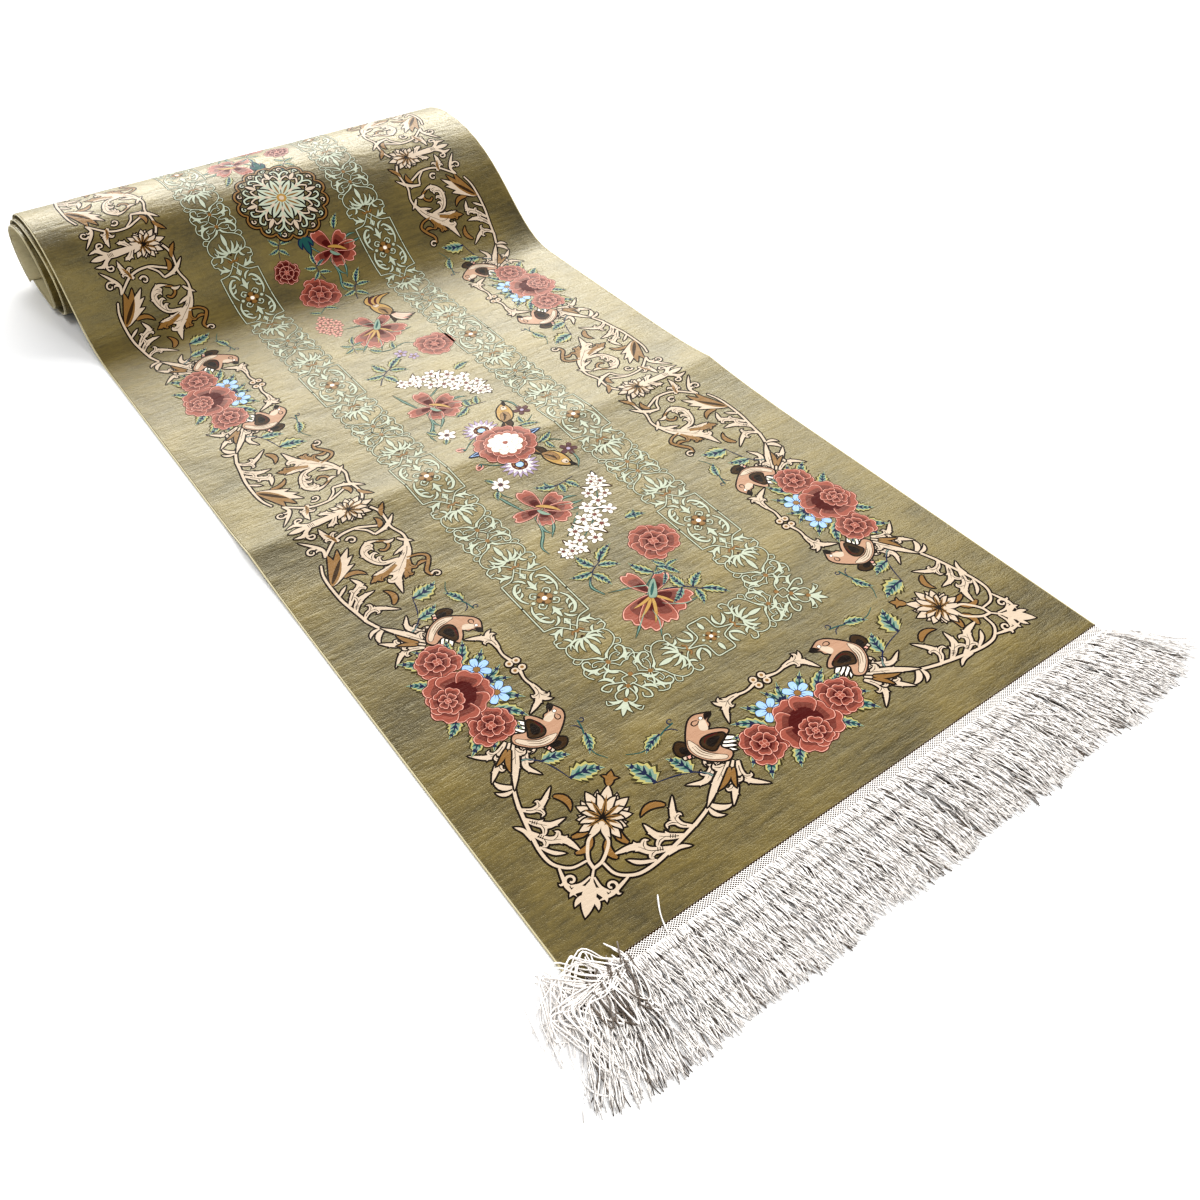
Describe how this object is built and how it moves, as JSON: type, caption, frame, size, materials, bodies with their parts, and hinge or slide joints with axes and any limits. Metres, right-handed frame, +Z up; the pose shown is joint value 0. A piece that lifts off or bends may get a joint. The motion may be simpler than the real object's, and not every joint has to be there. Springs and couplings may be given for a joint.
{
  "type": "rolled carpet runner",
  "caption": "Silk pile runner rug with a flowering border, flat at its fringed end and loosely rolled up at the other end.",
  "frame": {"origin": "on the floor, under the middle of the whole rug as it lies", "axes": "+X across the rug to its right edge, +Y along it from the fringe to the roll, +Z up"},
  "size_m": [0.9114, 1.8102, 0.149],
  "materials": {
    "silk_pile": "lustrous cut pile",
    "overcast_cord": "satin wrapped yarn",
    "warp_fringe": "soft loose yarn"
  },
  "bodies": {
    "root": {"rug": "silk_pile", "edge_cord_left": "overcast_cord", "edge_cord_right": "overcast_cord", "fringe": "warp_fringe"}
  },
  "joints": []
}
